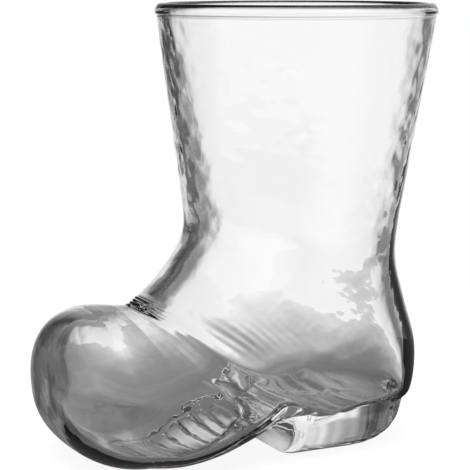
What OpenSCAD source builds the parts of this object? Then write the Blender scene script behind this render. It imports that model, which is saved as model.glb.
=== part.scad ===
// Boot-shaped beer and cocktail glass, mould-blown in clear glass.
// The leg stands up along +Z, the toe points to -X and the glass rests on z = 0.
// Leg, foot and sole are three stretches of one lofted shell, the lip is a turned bead
// and the heel is a solid block that seats under the shell.

/* [Leg] */
// Height of the whole glass
height = 125; // [110:1:160]
// Outside diameter of the leg just under the lip
mouth_d = 78.4; // [72:0.2:90]
// Outside diameter of the leg at the ankle
ankle_d = 61.4; // [56:0.2:68]
// Height of the ankle, where the leg meets the foot
ankle_z = 66; // [62:0.5:76]
// How far the middle of the mouth lies behind the middle of the ankle
mouth_shift = 1.2; // [0:0.1:4]
// Thickness of the blown wall
wall = 3; // [2:0.1:4]

/* [Lip] */
// Height of the fire-polished lip
lip_h = 3.2; // [2.8:0.1:6]
// How far the lip stands out past the leg
lip_bulge = 0.4; // [0.1:0.1:1]

/* [Foot] */
// From the middle of the ankle forward to the tip of the toe
toe_reach = 75.4; // [70:0.2:90]
// How far the fullest place of the heel stands out behind the ankle
heel_out = 4.7; // [2:0.1:7]
// Height of that fullest place
heel_z = 27; // [23:0.5:32]
// How far the hollow above the heel lies in front of the back of the ankle
hollow_in = 1.2; // [0:0.1:3]
// How far that hollow lies below the ankle
hollow_drop = 13; // [10:0.5:18]
// How far below the ankle the instep begins
instep_drop = 5; // [3:0.5:7]
// From the front of the ankle forward to the crease between instep and toe
instep_run = 18.3; // [15:0.1:22]
// Height of the toe
toe_h = 43.8; // [40:0.1:50]
// How far the crease lies below the top of the toe
crease_dip = 0.9; // [0:0.1:3]
// Width of the toe
toe_w = 59.6; // [52:0.2:70]
// Height of the foremost place of the toe
tip_z = 24.5; // [18:0.5:30]
// Length over which the top of the toe rounds down to the tip
toe_round = 14.5; // [12:0.5:18]
// Length over which the underside of the toe rounds up to the tip
toe_spring = 24; // [18:0.5:26]
// Squareness of the toe's lower half: 2 is an ellipse, more is flatter underneath
toe_square = 2.7; // [2:0.1:4]

/* [Sole] */
// Thickness of the glass floor
floor_t = 4; // [3:0.1:6]
// Width of the foot at the arch
arch_w = 53.6; // [48:0.2:60]
// Height of the arch at the front of the heel
arch_h = 8.4; // [6:0.1:12]
// Squareness of the arch's lower half: 2 is an ellipse, more is flatter underneath
arch_square = 5.4; // [3:0.1:7]
// From the middle of the ankle forward to the ball of the foot
ball_reach = 42; // [38:0.5:45]
// How much is ground off the ball of the foot, so that it stands flat
ground_off = 0.3; // [0.1:0.05:0.6]
// How much higher the underside of the heel cup lies than the arch
cup_rise = 1.2; // [0:0.1:3]
// How far the underside of the heel cup runs before it turns up
cup_round = 20.6; // [16:0.2:24]
// Squareness of that turn: 2 is an ellipse, more keeps the back of the heel upright
cup_square = 3.4; // [2:0.1:4]

/* [Heel] */
// How far the sides of the heel block lie in from the sides of the arch
block_side = 1.8; // [1:0.1:4]
// How far the rear of the heel block lies in from the fullest place of the heel
block_rear = 1.4; // [1:0.1:4]
// From the middle of the ankle forward to the front of the heel block
breast_reach = 10; // [6:0.5:14]
// Length of the rounded rear of the heel block
block_round = 24; // [18:0.5:30]
// Radius of the upright corners at the front of the heel block
breast_round = 8; // [3:0.5:9]
// How far the heel block draws in from its seat to its foot
block_taper = 3.5; // [0:0.1:4]
// Size of the rounding at the foot of the heel block
block_edge = 8; // [6:0.5:10]

/* [Tread] */
// From the middle of the ankle forward to the middle of the tread
tread_reach = 37.5; // [34:0.5:40]
// Length of the tread
tread_len = 36; // [16:0.5:36]
// Width of the tread
tread_w = 28; // [18:0.5:34]
// Distance between the grooves
tread_pitch = 3.4; // [3:0.1:6]
// Radius of a groove
groove_r = 1.4; // [0.8:0.1:1.4]
// Depth of a groove
groove_depth = 0.8; // [0.3:0.1:1.2]

/* [Hidden] */

glass_tint = [0.86, 0.92, 0.93];
round_faces = 96;

// Points around a rib: a multiple of 8
rib_points = 48;
quarter = rib_points / 4;
// Ribs in each stretch of the loft
leg_steps = 6;
span_steps = 3;
toe_steps = 9;
// Roundness of the toe seen from above: below 1 is blunter than an ellipse
toe_blunt = 0.78;

// Middle of the ankle, placed so that the whole glass is centred on x = 0
lip_d = mouth_d + 2 * lip_bulge;
ankle_x = (toe_reach - mouth_shift - lip_d / 2) / 2;
mouth_x = ankle_x + mouth_shift;
lip_z = height - lip_h;

ankle_front = [ankle_x - ankle_d / 2, ankle_z];
ankle_back = [ankle_x + ankle_d / 2, ankle_z];
instep = [ankle_front.x, ankle_z - instep_drop];
crease = [ankle_front.x - instep_run, toe_h - crease_dip];
toe_top = [ankle_x - toe_reach + toe_round, toe_h];
toe_base = [ankle_x - toe_reach + toe_spring, 0];
hollow = [ankle_back.x - hollow_in, ankle_z - hollow_drop];
heel_back = [ankle_back.x + heel_out, heel_z];
cup_base = [heel_back.x - cup_round, arch_h + cup_rise];
breast = [ankle_x - breast_reach, arch_h];
ball = [ankle_x - ball_reach, -ground_off];

// Widest place of a rib, as a share of the way from its front point to its bottom point
round_share = 0.5;
arch_share = 0.6;
toe_share = 0.52;
// Squareness of a round rib
round_square = 2;

// Steps between the key ribs of each stretch: hollow, heel cup, heel seat, arch and ball
hollow_steps = 3;
cup_steps = 3;
seat_steps = 2;
arch_steps = 3;
ball_steps = 1;
// Numbers of the key ribs where these stretches end, counted from the ankle
heel_rib = hollow_steps;
cup_rib = heel_rib + cup_steps;
breast_rib = cup_rib + seat_steps;
ball_rib = breast_rib + arch_steps;
toe_rib = ball_rib + ball_steps;

function ease(t) = (1 - cos(180 * t)) / 2;
function mix(a, b, t) = a + (b - a) * t;
function bezier(a, b, c, t) = mix(mix(a, b, t), mix(b, c, t), t);

// Front point of key rib i: down the instep to the crease, then along the top of the toe
function front_point(i) =
    i == 0 ? ankle_front
    : i <= breast_rib ? bezier(instep, instep_corner, crease, (i - 1) / (breast_rib - 1))
    : let (t = (i - breast_rib) / (toe_rib - breast_rib))
      [mix(crease.x, toe_top.x, t), mix(crease.y, toe_top.y, ease(t))];

// The instep bends towards a corner with this share of its run and this share of its drop
instep_bend = [0.55, 0.68];
instep_corner = [mix(instep.x, crease.x, instep_bend.x), mix(instep.y, crease.y, instep_bend.y)];

// Bottom point of key rib i: hollow, heel cup, arch, ball and underside of the toe
function bottom_point(i) =
    i == 0 ? ankle_back
    : i <= heel_rib ? let (t = (i - 1) / (heel_rib - 1))
        [mix(hollow.x, heel_back.x, ease(t)), mix(hollow.y, heel_back.y, t)]
    : i <= cup_rib ? let (a = 90 * (i - heel_rib) / (cup_rib - heel_rib))
        [
            mix(cup_base.x, heel_back.x, pow(max(cos(a), 0), 2 / cup_square)),
            mix(heel_back.y, cup_base.y, pow(sin(a), 2 / cup_square))
        ]
    : i <= breast_rib ? mix(cup_base, breast, (i - cup_rib) / (breast_rib - cup_rib))
    : i <= ball_rib ? let (t = (i - breast_rib) / (ball_rib - breast_rib))
        [mix(breast.x, ball.x, t), arch_z(t)]
    : toe_base;

// Height of the underside, t = 0 at the front of the heel and 1 at the ball
function arch_z(t) = mix(ball.y, breast.y, 1 - sin(90 * t));

// Height of the underside of the sole at a reach forward of the ankle: arch, ball, start of the toe
function sole_z(reach) =
    reach < ball_reach ? max(arch_z((reach - breast_reach) / (ball_reach - breast_reach)), 0)
    : reach < toe_reach - toe_spring ? 0
    : let (a = asin(1 - (toe_reach - reach) / toe_spring))
      mix(tip_z, 0, pow(cos(a), toe_blunt));

// A rib is [front, bottom, half width, widest share, squareness, share of the full wall]
function key_rib(i) =
    let (back = min(i / breast_rib, 1))
    let (fore = ease(max(i - breast_rib, 0) / (toe_rib - breast_rib)))
    [
        front_point(i),
        bottom_point(i),
        mix(mix(arch_w, ankle_d, pow(1 - back, 2)), toe_w, fore) / 2,
        mix(mix(round_share, arch_share, ease(back)), toe_share, fore),
        mix(mix(round_square, arch_square, pow(back, 2)), toe_square, fore),
        1
    ];

// The leg tapers straight from the lip to the ankle, t = 0 at the lip
function leg_rib(t) =
    let (half = mix(mouth_d, ankle_d, t) / 2)
    let (x = mix(mouth_x, ankle_x, t))
    let (z = mix(lip_z, ankle_z, t))
    [[x - half, z], [x + half, z], half, round_share, round_square, 1];

// The toe rounds in from the ball to its tip along two quarter ellipses, t = 0 at the ball.
// It stops a fifth of a step short of the quarter turn and closes there on a small flat.
function toe_rib_at(t) =
    let (a = 90 * t * (1 - 1 / (5 * toe_steps)))
    let (q = pow(cos(a), toe_blunt))
    let (tip_x = ankle_x - toe_reach)
    [
        [tip_x + toe_round * (1 - sin(a)), mix(tip_z, toe_h, q)],
        [tip_x + toe_spring * (1 - sin(a)), mix(tip_z, 0, q)],
        toe_w / 2 * q,
        toe_share,
        toe_square,
        q
    ];

// Smooth curve through four neighbouring ribs, t = 0 at the second and 1 at the third
function spline(a, b, c, d, t) =
    b + ((c - a) * t + (2 * a - 5 * b + 4 * c - d) * t * t + (3 * b - a - 3 * c + d) * t * t * t) / 2;

key_ribs = concat(
    [leg_rib(1 - 1 / leg_steps)],
    [for (i = [0 : toe_rib]) key_rib(i)],
    [toe_rib_at(1 / toe_steps)]
);

ribs = concat(
    [for (k = [0 : leg_steps - 1]) leg_rib(k / leg_steps)],
    [for (i = [0 : toe_rib - 1], k = [0 : span_steps - 1])
        spline(key_ribs[i], key_ribs[i + 1], key_ribs[i + 2], key_ribs[i + 3], k / span_steps)],
    [for (k = [0 : toe_steps]) toe_rib_at(k / toe_steps)]
);

last = len(ribs) - 1;
ankle_ring = leg_steps;
seam_ring = ankle_ring + (heel_rib + 1) * span_steps;
ball_ring = ankle_ring + toe_rib * span_steps;
// The sole ends one step into the toe
sole_end = ball_ring + 1;
// Half the columns that belong to the sole, from the middle of the underside to its corner
sole_columns = quarter / 2;

// Inward direction at an end of rib i: column 0 is its front point, 1 its bottom point.
// Level along the rib in the leg, so that its ends are flat, and square to the rail in the foot.
function inward(i, column) =
    let (a = ribs[max(i - 1, 0)][column])
    let (b = ribs[min(i + 1, last)][column])
    let (d = (b - a) / norm(b - a))
    i <= ankle_ring ? (column == 0 ? [1, 0] : [-1, 0])
    : (column == 0 ? [-d.y, d.x] : [d.y, -d.x]);

// The glass floor grows from the wall at the ankle to its full thickness at the seam
function floor_at(i) =
    let (t = (i - ankle_ring) / (seam_ring - ankle_ring))
    mix(wall, floor_t, ease(min(max(t, 0), 1)));

// The same rib drawn in by the thickness of the glass
function inner_rib(i) =
    let (r = ribs[i])
    [
        r[0] + wall * inward(i, 0),
        r[1] + floor_at(i) * inward(i, 1),
        r[2] - wall * r[5],
        r[3],
        r[4],
        r[5]
    ];

// Half of a rib's outline, from the front point to the bottom point, as [way along, half width]:
// a quarter ellipse down to the widest place, then a squarer quarter under it
function half_outline(length, r) = concat(
    [for (k = [0 : quarter]) let (a = 90 * k / quarter)
        [r[3] * length * (1 - cos(a)), r[2] * sin(a)]],
    [for (k = [1 : quarter]) let (a = 90 * k / quarter)
        [mix(r[3], 1, pow(sin(a), 2 / r[4])) * length, r[2] * pow(cos(a), 2 / r[4])]]
);

// Ring of points around rib r, from the front point by +Y to the bottom point and back by -Y
function ring(r) =
    let (length = norm(r[1] - r[0]))
    let (way = (r[1] - r[0]) / length)
    let (half = half_outline(length, r))
    [for (j = [0 : rib_points - 1])
        let (p = half[j <= rib_points / 2 ? j : rib_points - j])
        let (side = j <= rib_points / 2 ? 1 : -1)
        [r[0].x + way.x * p.x, side * p.y, r[0].y + way.y * p.x]];

outer_points = [for (r = ribs) each ring(r)];
inner_points = [for (i = [0 : last]) each ring(inner_rib(i))];
skin_points = concat(outer_points, inner_points);

// Index of a point of the skins: skin 0 is the outside, 1 the inside of the glass
function at(skin, i, j) = skin * len(outer_points) + i * rib_points + (j + rib_points) % rib_points;

// Two triangles of the four-sided cell that starts at ring i, column j
function cell(skin, i, j) =
    let (p = at(skin, i, j))
    let (q = at(skin, i, j + 1))
    let (r = at(skin, i + 1, j + 1))
    let (s = at(skin, i + 1, j))
    skin == 0 ? [[p, r, q], [p, s, r]] : [[p, q, r], [p, r, s]];

// Two triangles between the skins, along the edge from ring i, column j to ring k, column l
function edge_wall(i, j, k, l) =
    let (p = at(0, i, j))
    let (q = at(0, k, l))
    let (r = at(1, k, l))
    let (s = at(1, i, j))
    [[p, r, q], [p, s, r]];

// The sole's cells, from the seam to its end and between its two corners
function in_sole(i, j) =
    i >= seam_ring && i < sole_end
    && j >= rib_points / 2 - sole_columns && j < rib_points / 2 + sole_columns;

// A stretch of the shell with all its columns, from ring a to ring b, without the sole's cells
function shell_cells(a, b) = [for (skin = [0, 1], i = [a : b - 1], j = [0 : rib_points - 1])
    if (!in_sole(i, j)) each cell(skin, i, j)];

function sole_cells() = [for (skin = [0, 1], i = [seam_ring : sole_end - 1], j = [0 : rib_points - 1])
    if (in_sole(i, j)) each cell(skin, i, j)];

// Walls between the skins: around the upper or the lower end of a stretch
function upper_end(i) = [for (j = [0 : rib_points - 1]) each edge_wall(i, j + 1, i, j)];
function lower_end(i) = [for (j = [0 : rib_points - 1]) each edge_wall(i, j, i, j + 1)];

// Walls around the edge of the sole
sole_first = rib_points / 2 - sole_columns;
sole_last = rib_points / 2 + sole_columns;
sole_border = concat(
    [for (j = [sole_first : sole_last - 1]) each edge_wall(seam_ring, j + 1, seam_ring, j)],
    [for (j = [sole_first : sole_last - 1]) each edge_wall(sole_end, j, sole_end, j + 1)],
    [for (i = [seam_ring : sole_end - 1]) each edge_wall(i, sole_first, i + 1, sole_first)],
    [for (i = [seam_ring : sole_end - 1]) each edge_wall(i + 1, sole_last, i, sole_last)]
);

function turned(faces) = [for (f = faces) [f[0], f[2], f[1]]];

// Small flats that close the two skins at the tip of the toe
tip_faces = [
    [for (j = [rib_points - 1 : -1 : 0]) at(0, last, j)],
    [for (j = [0 : rib_points - 1]) at(1, last, j)]
];

// Everything inside the outer skin around the heel, used to seat the heel block
module heel_cup_mass() {
    first = ankle_ring + span_steps;
    end = ball_ring - span_steps;
    polyhedron(outer_points, concat(
        [for (i = [first : end - 1], j = [0 : rib_points - 1]) each cell(0, i, j)],
        [[for (j = [0 : rib_points - 1]) at(0, first, j)]],
        [[for (j = [rib_points - 1 : -1 : 0]) at(0, end, j)]]
    ));
}

// Everything under the surface that the glass stands on
module below_ground() {
    depth = 2 * block_edge;
    translate([-toe_reach, -toe_w, -depth])
        cube([2 * toe_reach, 2 * toe_w, depth]);
}

// Outline of the heel block: straight at the front with rounded corners, a half ellipse at the rear
breast_steps = 5;
heel_outline_steps = 16;
function heel_outline(inset) =
    let (middle_x = heel_back.x - block_rear - block_round)
    let (half = arch_w / 2 - block_side - inset)
    let (r = min(breast_round, 0.9 * half, middle_x - breast.x))
    concat(
        [for (k = [0 : breast_steps]) let (a = 90 * k / breast_steps)
            [breast.x + r * (1 - cos(a)), r * (1 - sin(a)) - half]],
        [for (k = [0 : heel_outline_steps]) let (a = 180 * k / heel_outline_steps - 90)
            [middle_x + (block_round - inset) * cos(a), half * sin(a)]],
        [for (k = [breast_steps : -1 : 0]) let (a = 90 * k / breast_steps)
            [breast.x + r * (1 - cos(a)), half - r * (1 - sin(a))]]
    );

// Stacked outlines: upright down to the glass floor, then drawn in, with a quarter circle at the ground
module heel_loft() {
    edge_steps = 6;
    taper_z = max(cup_base.y + floor_t, block_edge);
    levels = concat(
        [[0, heel_back.y], [0, taper_z]],
        [for (k = [0 : edge_steps])
            let (a = 90 * k / edge_steps)
            let (z = block_edge * (1 - sin(a)) - ground_off)
            [block_edge * (1 - cos(a)) + block_taper * (1 - z / taper_z), z]]
    );
    n = heel_outline_steps + 2 * breast_steps + 3;
    points = [for (l = levels) each [for (p = heel_outline(l[0])) [p.x, p.y, l[1]]]];
    polyhedron(points, concat(
        [for (i = [0 : len(levels) - 2], j = [0 : n - 1]) each
            let (p = i * n + j, q = i * n + (j + 1) % n)
            [[p, q, q + n], [p, q + n, p + n]]],
        [[for (j = [n - 1 : -1 : 0]) j]],
        [[for (j = [0 : n - 1]) (len(levels) - 1) * n + j]]
    ));
}

// Half-round grooves across the sole that together fill an oval between the heel and the toe
module tread() {
    grooves = floor(tread_len / tread_pitch);
    half_run = (grooves + 1) / 2 * tread_pitch;
    for (k = [1 : grooves]) {
        along = k * tread_pitch - half_run;
        reach = tread_reach + along;
        groove_w = tread_w * sqrt(1 - pow(along / half_run, 2));
        translate([ankle_x - reach, 0, sole_z(reach) - groove_r + groove_depth])
            rotate([90, 0, 0])
                cylinder(h = groove_w, r = groove_r, center = true, $fn = round_faces);
    }
}

// Turned bead at the mouth, with a round top and a flat seat on the leg
module lip() {
    bead = wall + lip_bulge;
    inner_r = mouth_d / 2 - wall;
    color(glass_tint)
        translate([mouth_x, 0, lip_z])
            rotate_extrude($fn = round_faces)
                translate([inner_r, 0])
                    intersection() {
                        square([bead, lip_h]);
                        union() {
                            square([bead, lip_h - bead / 2]);
                            translate([bead / 2, lip_h - bead / 2])
                                circle(d = bead);
                        }
                    }
}

// Tapered tube between the lip and the ankle
module leg() {
    color(glass_tint)
        polyhedron(skin_points, concat(
            shell_cells(0, ankle_ring),
            upper_end(0),
            lower_end(ankle_ring)
        ));
}

// Instep, heel cup and toe, with a window for the sole
module foot() {
    color(glass_tint)
        polyhedron(skin_points, concat(
            shell_cells(ankle_ring, last),
            upper_end(ankle_ring),
            turned(sole_border),
            tip_faces
        ));
}

// Floor of the foot from the heel seam to the ball, ground flat where it stands
module sole() {
    color(glass_tint)
        difference() {
            polyhedron(skin_points, concat(sole_cells(), sole_border));
            below_ground();
            tread();
        }
}

// Solid block under the heel cup
module heel() {
    color(glass_tint)
        difference() {
            heel_loft();
            heel_cup_mass();
            below_ground();
        }
}

lip();
leg();
foot();
sole();
heel();
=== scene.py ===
"""Boot-shaped drinking glass: mould-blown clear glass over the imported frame, and the studio
that it stands in."""

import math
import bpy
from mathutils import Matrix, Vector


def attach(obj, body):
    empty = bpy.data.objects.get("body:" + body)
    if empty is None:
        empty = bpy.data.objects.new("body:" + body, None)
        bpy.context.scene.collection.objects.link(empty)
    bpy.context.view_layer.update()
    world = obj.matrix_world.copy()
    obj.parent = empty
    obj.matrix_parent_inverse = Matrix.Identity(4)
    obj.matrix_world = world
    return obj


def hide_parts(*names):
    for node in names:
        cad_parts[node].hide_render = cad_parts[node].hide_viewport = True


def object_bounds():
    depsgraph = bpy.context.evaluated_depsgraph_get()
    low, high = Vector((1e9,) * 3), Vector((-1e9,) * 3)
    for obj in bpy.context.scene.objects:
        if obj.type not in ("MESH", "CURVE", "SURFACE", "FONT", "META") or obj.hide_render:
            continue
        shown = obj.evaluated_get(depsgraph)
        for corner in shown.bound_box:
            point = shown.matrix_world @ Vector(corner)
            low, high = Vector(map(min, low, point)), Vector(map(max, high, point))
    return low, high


bl_info = {
    "name": "Boot glass",
    "version": (1, 0, 0),
    "blender": (4, 5, 0),
    "location": "View3D > Sidebar > Boot glass",
    "description": "Blows the boot-shaped drinking glass over its packed frame and sets up its studio",
    "category": "Object",
}

from functools import lru_cache
from types import SimpleNamespace

import bmesh
import bpy
import numpy as np
from bpy.props import FloatProperty, FloatVectorProperty, IntProperty, PointerProperty
from mathutils import Vector
from mathutils.kdtree import KDTree

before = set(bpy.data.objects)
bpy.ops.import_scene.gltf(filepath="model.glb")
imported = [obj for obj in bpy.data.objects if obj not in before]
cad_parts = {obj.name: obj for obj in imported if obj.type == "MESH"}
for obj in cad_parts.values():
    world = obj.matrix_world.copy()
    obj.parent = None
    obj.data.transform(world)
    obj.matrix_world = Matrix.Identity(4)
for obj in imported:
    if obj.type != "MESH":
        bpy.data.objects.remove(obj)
cad_low, cad_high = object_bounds()


def millimetres(name, value, description):
    """A length property that is written in millimetres and kept in metres."""
    return FloatProperty(
        name=name,
        description=description,
        default=value / 1000,
        precision=5,
        unit="LENGTH",
        subtype="DISTANCE",
    )


def plain_number(name, value, description):
    """A property without a unit."""
    return FloatProperty(name=name, description=description, default=value, precision=3)


def linear(hex_colour):
    """Turns an sRGB hex colour into linear red, green and blue."""
    shares = [int(hex_colour[i : i + 2], 16) / 255 for i in (1, 3, 5)]
    return tuple(c / 12.92 if c <= 0.04045 else ((c + 0.055) / 1.055) ** 2.4 for c in shares)


def paint(name, hex_colour, description):
    """A colour property that is written as sRGB hex."""
    return FloatVectorProperty(
        name=name,
        description=description,
        default=linear(hex_colour),
        size=3,
        min=0,
        max=1,
        subtype="COLOR",
    )


class BootShape(bpy.types.PropertyGroup):
    """Sizes of the glass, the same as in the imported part."""

    height: millimetres("Height", 125, "Height of the whole glass")
    mouth_d: millimetres("Mouth", 78.4, "Outside diameter of the leg just under the lip")
    ankle_d: millimetres("Ankle", 61.4, "Outside diameter of the leg at the ankle")
    ankle_z: millimetres("Ankle height", 66, "Height of the ankle")
    mouth_shift: millimetres("Mouth shift", 1.2, "How far the mouth lies behind the ankle")
    wall: millimetres("Wall", 3, "Thickness of the blown wall")
    lip_h: millimetres("Lip height", 3.2, "Height of the fire-polished lip")
    lip_bulge: millimetres("Lip bulge", 0.4, "How far the lip stands out past the leg")
    toe_reach: millimetres("Toe reach", 75.4, "From the middle of the ankle to the tip of the toe")
    heel_out: millimetres("Heel bulge", 4.7, "How far the heel stands out behind the ankle")
    heel_z: millimetres("Heel bulge height", 27, "Height of the fullest place of the heel")
    hollow_in: millimetres("Hollow", 1.2, "How far the hollow above the heel lies in")
    hollow_drop: millimetres("Hollow drop", 13, "How far that hollow lies below the ankle")
    instep_drop: millimetres("Instep drop", 5, "How far below the ankle the instep begins")
    instep_run: millimetres("Instep run", 18.3, "From the front of the ankle to the crease")
    toe_h: millimetres("Toe height", 43.8, "Height of the toe")
    crease_dip: millimetres("Crease dip", 0.9, "How far the crease lies below the toe")
    toe_w: millimetres("Toe width", 59.6, "Width of the toe")
    tip_z: millimetres("Tip height", 24.5, "Height of the foremost place of the toe")
    toe_round: millimetres("Toe rounding", 14.5, "Length over which the toe rounds down")
    toe_spring: millimetres("Toe spring", 24, "Length over which the toe's underside rounds up")
    toe_square: plain_number("Toe squareness", 2.7, "2 is an ellipse, more is flatter underneath")
    floor_t: millimetres("Floor", 4, "Thickness of the glass floor")
    arch_w: millimetres("Arch width", 53.6, "Width of the foot at the arch")
    arch_h: millimetres("Arch height", 8.4, "Height of the arch at the front of the heel")
    arch_square: plain_number("Arch squareness", 5.4, "2 is an ellipse, more is flatter underneath")
    ball_reach: millimetres("Ball reach", 42, "From the middle of the ankle to the ball of the foot")
    ground_off: millimetres("Ground off", 0.3, "How much is ground off the ball of the foot")
    cup_rise: millimetres("Cup rise", 1.2, "How much higher the heel cup lies than the arch")
    cup_round: millimetres("Cup rounding", 20.6, "Length over which the heel cup turns up")
    cup_square: plain_number("Cup squareness", 3.4, "2 is an ellipse, more keeps the heel upright")
    block_side: millimetres("Block side", 1.8, "How far the heel block lies in from the arch's sides")
    block_rear: millimetres("Block rear", 1.4, "How far the heel block lies in from the heel's back")
    breast_reach: millimetres("Breast reach", 10, "From the middle of the ankle to the heel's front")
    block_round: millimetres("Block rounding", 24, "Length of the rounded rear of the heel block")
    breast_round: millimetres("Breast rounding", 3, "Radius of the upright corners of the heel's front")
    block_taper: millimetres("Block taper", 3.5, "How far the heel block draws in towards its foot")
    block_edge: millimetres("Block edge", 8, "Size of the rounding at the foot of the heel block")
    tread_reach: millimetres("Tread reach", 37.5, "From the middle of the ankle to that of the tread")
    tread_len: millimetres("Tread length", 36, "Length of the tread")
    tread_w: millimetres("Tread width", 28, "Width of the tread")
    tread_pitch: millimetres("Tread pitch", 3.4, "Distance between the grooves")
    groove_r: millimetres("Groove radius", 1.4, "Radius of a groove")
    groove_depth: millimetres("Groove depth", 0.8, "Depth of a groove")


class BlownFinish(bpy.types.PropertyGroup):
    """Unevenness that blowing and moulding leave in the glass, and its colour."""

    dimple: millimetres("Dimple size", 7, "Size of the hammered dimples in the leg")
    dimple_out: millimetres("Dimple depth outside", 0.2, "Depth of the dimples on the outside")
    dimple_in: millimetres("Dimple depth inside", 0.5, "Depth of the waves on the inside")
    floor_wave: millimetres("Floor wave", 0.5, "How far the edge of the glass floor waves up and down")
    floor_rise: millimetres("Floor rise", 0.6, "How far the flat floor lies above the rounded one")
    arch_lift: millimetres("Arch lift", 3, "How far the arch is drawn up in cooling")
    chill: millimetres("Chill marks", 0.05, "Depth of the slanting chill marks in the side of the foot")
    lip_round: millimetres("Lip rounding", 2.6, "Height over which the lip narrows to its edge")
    heel_wave: millimetres("Heel wave", 0.12, "Depth of the upright waves in the heel block")
    seed: IntProperty(name="Seed", description="Draws another set of dimples", default=7, min=0)
    glass: paint("Glass", "#FFFFFF", "Colour of the clear glass")


class StudioLook(bpy.types.PropertyGroup):
    """Colours of the studio."""

    white: paint("Backdrop", "#FFFFFF", "White backdrop")
    board: paint("Table", "#E7E7E7", "Painted board that the glass stands on")


def ease(t):
    """Cosine ease from 0 to 1."""
    return (1 - np.cos(np.pi * np.clip(t, 0, 1))) / 2


def mix(a, b, t):
    """Straight blend from a to b."""
    return a + (b - a) * t


# Numbers of the key ribs, counted from the ankle
HEEL_RIB = 3
SEAM_RIB = 4
CUP_RIB = 6
BREAST_RIB = 8
BALL_RIB = 11
TOE_RIB = 12
# Widest place of a round, an arch and a toe rib, as a share of the rib's length
ROUND_SHARE = 0.5
ARCH_SHARE = 0.6
TOE_SHARE = 0.52
# Roundness of the toe seen from above: below 1 is blunter than an ellipse
TOE_BLUNT = 0.78
# Bend of the instep: how far forward and how far down it lies on the way to the crease
INSTEP_BEND = (0.55, 0.68)
# How soon the lift of the arch fades out before the ball of the foot
LIFT_FADE = 1.6
# Ribs that lead into and out of the run of key ribs: share of the leg, and degrees of the toe
LEAD_IN = 5 / 6
LEAD_OUT = 88 / 9
# Degrees of the last rib of the toe, just short of the tip
LAST_RIB = 89.3
# Rows of the skins: in the leg, between the key ribs and in the toe; columns in a quarter of a ring
LEG_ROWS = 64
SPAN_ROWS = (8, 8, 8, 8, 10, 10, 14, 16, 24, 24, 24, 22)
TOE_ROWS = 36
QUARTER = 52
COLUMNS = 4 * QUARTER
# Fine steps by which a quarter of a ring is measured before its points are spread
OUTLINE_STEPS = 500
# Rows of the toe that still belong to the sole
SOLE_TOE_ROWS = 4
# Stretch of the ribs on each side over which the thickness of the floor evens out, and its steps
EVEN_REACH = 0.6
EVEN_STEPS = 60
# Softer bend at the ankle: stretch of the front line on each side and its steps, in metres, and the
# places along the ribs over which it comes in and goes out
BEND_REACH = 0.009
BEND_STEP = 0.0002
BEND_FROM = -0.6
BEND_IN = 0.2
BEND_TO = 6
BEND_OUT = 3
# Least slant that the thickness of the floor is worked out with
LEAST_SLANT = 0.4
# Place along the ribs from which the inside has a floor, and how much squarer it is there
FLOOR_FROM = 2
FLOOR_SQUARE = 1.6
# Waves of the floor's edge: share of the height, metres to a radian, start on the far and near side
FLOOR_WAVES = ((1.0, 0.00116, 0.0, 2.1), (0.6, 0.00065, 1.3, 0.4))
# Where these waves begin and the stretch over which they grow, in metres
WAVES_FROM = -0.014
WAVES_GROW = 0.015
# Rounding between the floor and the sides, in metres
FLOOR_BLEND = 0.00024
# Chill marks, in metres: middle and half size of their field along and up, least distance to the
# side, slant, spacing, and how much and how fast they sway
CHILL_AT = (-0.01, 0.0355)
CHILL_HALF = (0.013, 0.0035)
CHILL_ASIDE = 0.015
CHILL_SLANT = (0.67, 0.74)
CHILL_PITCH = 0.0021
CHILL_SWAY = (1.5, 0.004)
# Hammered surface: stretch over which it starts under the lip, its strength in the foot and in the
# toe, and the ribs over which it fades to each
HAMMER_START = 0.08
HAMMER_FOOT = 0.35
HAMMER_TOE = 0.06
HAMMER_FADE = 3
# Steps of the lip's outline: up the inside, over the bead, down the outside and in to the leg
LIP_STEPS = (4, 18, 3, 5)
# Stretch over which a groove of the tread runs out at its ends, in metres
GROOVE_END = 0.0012
# Groove round the tread: where it runs and its half width, by the square of the distance from the
# middle of the oval, which is 1 at its edge
RIM_MIDDLE = 1.16
RIM_HALF = 0.15
# Quarter turns on each side of the bottom that the tread may reach
TREAD_TURN = 0.9
# Ring just under the straight top of the heel block, in metres
RING_GAP = 0.0001
# Most of the half width that a front corner of the heel block may take
CORNER_MOST = 0.9
# Upright waves of the heel block: metres to a radian, and their start on the far side
HEEL_WAVE_TURN = 0.0007
HEEL_WAVE_START = 1.0
# How deep the folds go on the inside, and what the seed of the dimples grows by there
FOLD_INSIDE = 0.5
SEED_INSIDE = 3.0
# Degrees from which a bend shows as an edge
SHARP_DEGREES = 38
# Points closer than this are one point, in metres
MERGE = 2e-6
# Regions of the glass, one for each piece, and the lid that closes the mouth while the heel is
# melted on
LIP, LEG, FOOT, SOLE, HEEL, LID = range(6)
# Extra glass in front, by place along the ribs, in millimetres: thick at the ankle and the instep
FRONT_EXTRA = (
    (-1, 0), (-0.6, 0.5), (0, 1.6), (1, 2), (6.5, 1.8), (8, 1.0), (10, 0.6), (12, 1.2), (13, 2),
)
# Extra glass behind and underneath: thick at the back of the heel, thinner where the heel is
# melted on
REAR_EXTRA = (
    (-0.4, 0), (0, 0.5), (1, 0.6), (2, 0.9), (3, 1.1), (4, 0.6), (5, -0.6), (6.5, -1.2), (8, -0.2),
    (9, 0), (12, 0.3), (13, 2),
)
# Extra glass at the sides: thick round the toe
SIDE_EXTRA = ((9, 0), (12, 1.2), (12.6, 1.2), (13, 0))
# Folds of the crease: place along the ribs, half width there, reach down the side in quarter
# turns, and depth in millimetres
FOLDS = (
    (8.0, 0.16, 0.3, 0.9),
    (7.66, 0.12, 0.32, 0.8),
    (7.36, 0.11, 0.28, 0.6),
    (7.08, 0.1, 0.22, 0.45),
    (8.34, 0.14, 0.2, 0.3),
)
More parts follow.
